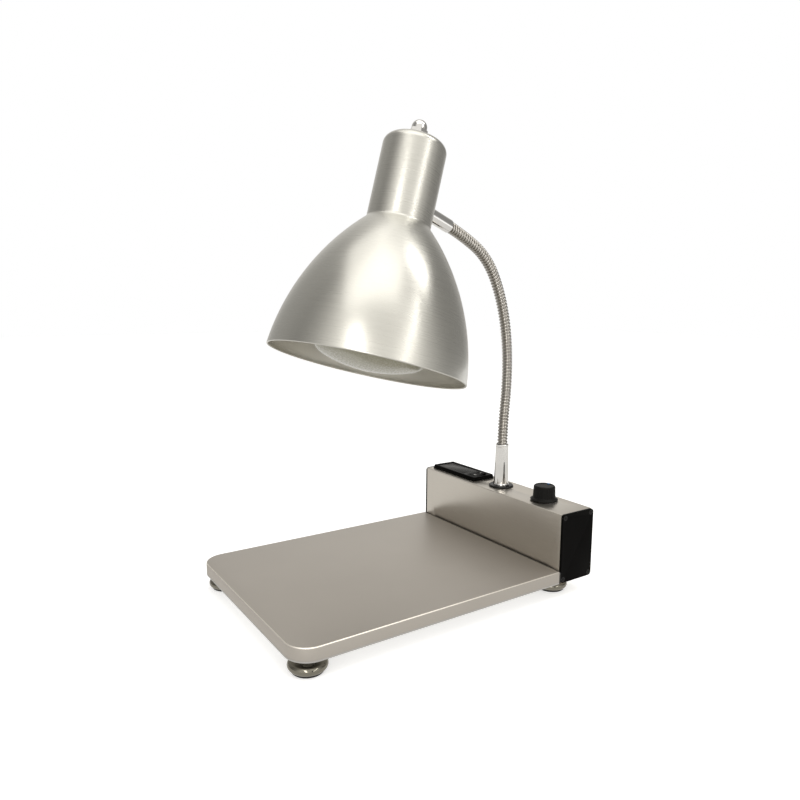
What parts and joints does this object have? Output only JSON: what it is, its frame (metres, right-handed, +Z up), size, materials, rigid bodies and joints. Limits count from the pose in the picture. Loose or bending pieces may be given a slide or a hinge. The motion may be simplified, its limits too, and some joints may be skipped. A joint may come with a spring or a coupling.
{
  "type": "heat lamp",
  "caption": "Bench heat lamp: a spun reflector shade on a wound flexible neck, rising from a switch and dimmer box behind a flat warming plate on levelling feet.",
  "frame": {"origin": "on the floor, under the middle of the footprint of plate and control box", "axes": "+Z up, +X to the lamp's right as its user sees it, -Y towards the user, in front of the plate"},
  "size_m": [0.282, 0.3823, 0.5185],
  "materials": {
    "brushed_sheet": "fine circumferential brush marks, satin",
    "anodised_plate": "satin anodised",
    "anodised_box": "satin anodised, drawn along its length",
    "raw_aluminium": "mill finish",
    "black_plastic": "fine grained",
    "panel_gloss": "polished dark grey",
    "display_window": "smoked, faintly speckled",
    "black_metal": "black, semi-matt",
    "blue_mark": "moulded colour",
    "seal_rubber": "matt",
    "polished_chrome": "polished",
    "coil_chrome": "bright plated wire",
    "zinc_steel": "bright zinc",
    "core_steel": "blued spring steel",
    "brass": "plain",
    "board": "solder mask green",
    "terminals": "moulded",
    "porcelain": "glazed white",
    "bulb_glass": "frosted inside"
  },
  "bodies": {
    "base": {"base_plate": "anodised_plate", "bottom_cover": "raw_aluminium", "cover_screws": "zinc_steel", "joint_seal": "seal_rubber", "box_profile": "anodised_box", "end_cap_left": "black_plastic", "end_cap_right": "black_plastic", "cap_screws": "black_metal", "joining_bolts": "zinc_steel", "neck_flange": "black_metal", "flange_screws": "black_metal", "lower_ferrule": "polished_chrome", "ferrule_nut": "zinc_steel", "panel_frame": "panel_gloss", "panel_window": "display_window", "panel_body": "black_plastic", "switch_frame": "panel_gloss", "dimmer_body": "zinc_steel", "dimmer_nut": "zinc_steel", "dimmer_board": "board", "terminal_block": "terminals", "inlet_body": "black_plastic", "inlet_pins": "brass", "inlet_screws": "black_metal", "foot_nuts": "zinc_steel"},
    "neck_1": {"neck_core_1": "core_steel", "neck_winding_1": "coil_chrome"},
    "neck_2": {"neck_core_2": "core_steel", "neck_winding_2": "coil_chrome"},
    "neck_3": {"neck_core_3": "core_steel", "neck_winding_3": "coil_chrome"},
    "neck_4": {"neck_core_4": "core_steel", "neck_winding_4": "coil_chrome"},
    "neck_5": {"neck_core_5": "core_steel", "neck_winding_5": "coil_chrome"},
    "neck_6": {"neck_core_6": "core_steel", "neck_winding_6": "coil_chrome"},
    "head": {"upper_ferrule": "polished_chrome", "saddle_washer": "black_metal", "head_nuts": "zinc_steel", "shade": "brushed_sheet", "acorn_nut": "polished_chrome", "lampholder_stem": "zinc_steel", "lampholder": "porcelain", "screw_shell": "brass", "bulb_glass": "bulb_glass", "bulb_cap": "brass"},
    "knob": {"dimmer_knob": "black_plastic", "knob_mark_inlay": "blue_mark", "dimmer_shaft": "zinc_steel"},
    "rocker": {"switch_rocker": "panel_gloss"},
    "foot_front_left": {"foot_front_left": "polished_chrome", "foot_pad_front_left": "seal_rubber"},
    "foot_front_right": {"foot_front_right": "polished_chrome", "foot_pad_front_right": "seal_rubber"},
    "foot_rear_left": {"foot_rear_left": "polished_chrome", "foot_pad_rear_left": "seal_rubber"},
    "foot_rear_right": {"foot_rear_right": "polished_chrome", "foot_pad_rear_right": "seal_rubber"}
  },
  "joints": [
    {"name": "neck_root_bend", "type": "hinge", "parent": "base", "child": "neck_1", "pos_m": [0, 0.1635, 0.1505], "axis": [0.9774, 0.2113, 0], "range_deg": [-8, 8]},
    {"name": "neck_low_sway", "type": "hinge", "parent": "neck_1", "child": "neck_2", "pos_m": [-0.0007, 0.16674, 0.2047], "axis": [0.2098, -0.9701, 0.1219], "range_deg": [-8, 8]},
    {"name": "neck_low_bend", "type": "hinge", "parent": "neck_2", "child": "neck_3", "pos_m": [-0.0011, 0.16859, 0.25893], "axis": [0.9774, 0.2113, 0], "range_deg": [-8, 8]},
    {"name": "neck_middle_sway", "type": "hinge", "parent": "neck_3", "child": "neck_4", "pos_m": [0.00079, 0.15984, 0.3124], "axis": [0.2031, -0.9396, -0.2756], "range_deg": [-8, 8]},
    {"name": "neck_high_bend", "type": "hinge", "parent": "neck_4", "child": "neck_5", "pos_m": [0.00553, 0.1379, 0.36166], "axis": [0.9774, 0.2113, 0], "range_deg": [-8, 8]},
    {"name": "neck_high_sway", "type": "hinge", "parent": "neck_5", "child": "neck_6", "pos_m": [0.01409, 0.09834, 0.39685], "axis": [0.0893, -0.4131, -0.9063], "range_deg": [-8, 8]},
    {"name": "head_bend", "type": "hinge", "parent": "neck_6", "child": "head", "pos_m": [0.0248, 0.0488, 0.4163], "axis": [0.9774, 0.2113, 0], "range_deg": [-8, 8]},
    {"name": "dimmer_turn", "type": "hinge", "parent": "base", "child": "knob", "pos_m": [0.076, 0.1635, 0.098], "axis": [0, 0, 1], "range_deg": [-285, 15]},
    {"name": "switch_rock", "type": "hinge", "parent": "base", "child": "rocker", "pos_m": [-0.0455, 0.1635, 0.0995], "axis": [1, 0, 0], "range_deg": [-14, 0]},
    {"name": "level_front_left", "type": "hinge", "parent": "base", "child": "foot_front_left", "pos_m": [-0.108, -0.1665, 0.014], "axis": [0, 0, 1], "continuous": true},
    {"name": "level_front_right", "type": "hinge", "parent": "base", "child": "foot_front_right", "pos_m": [0.108, -0.1665, 0.014], "axis": [0, 0, 1], "continuous": true},
    {"name": "level_rear_left", "type": "hinge", "parent": "base", "child": "foot_rear_left", "pos_m": [-0.101, 0.15331, 0.014], "axis": [0, 0, 1], "continuous": true},
    {"name": "level_rear_right", "type": "hinge", "parent": "base", "child": "foot_rear_right", "pos_m": [0.101, 0.15331, 0.014], "axis": [0, 0, 1], "continuous": true}
  ],
  "couplings": [
    {"joint": "neck_low_bend", "follows": "neck_root_bend", "ratio": 1},
    {"joint": "head_bend", "follows": "neck_high_bend", "ratio": 1},
    {"joint": "neck_middle_sway", "follows": "neck_low_sway", "ratio": 1},
    {"joint": "neck_high_sway", "follows": "neck_low_sway", "ratio": 1}
  ]
}
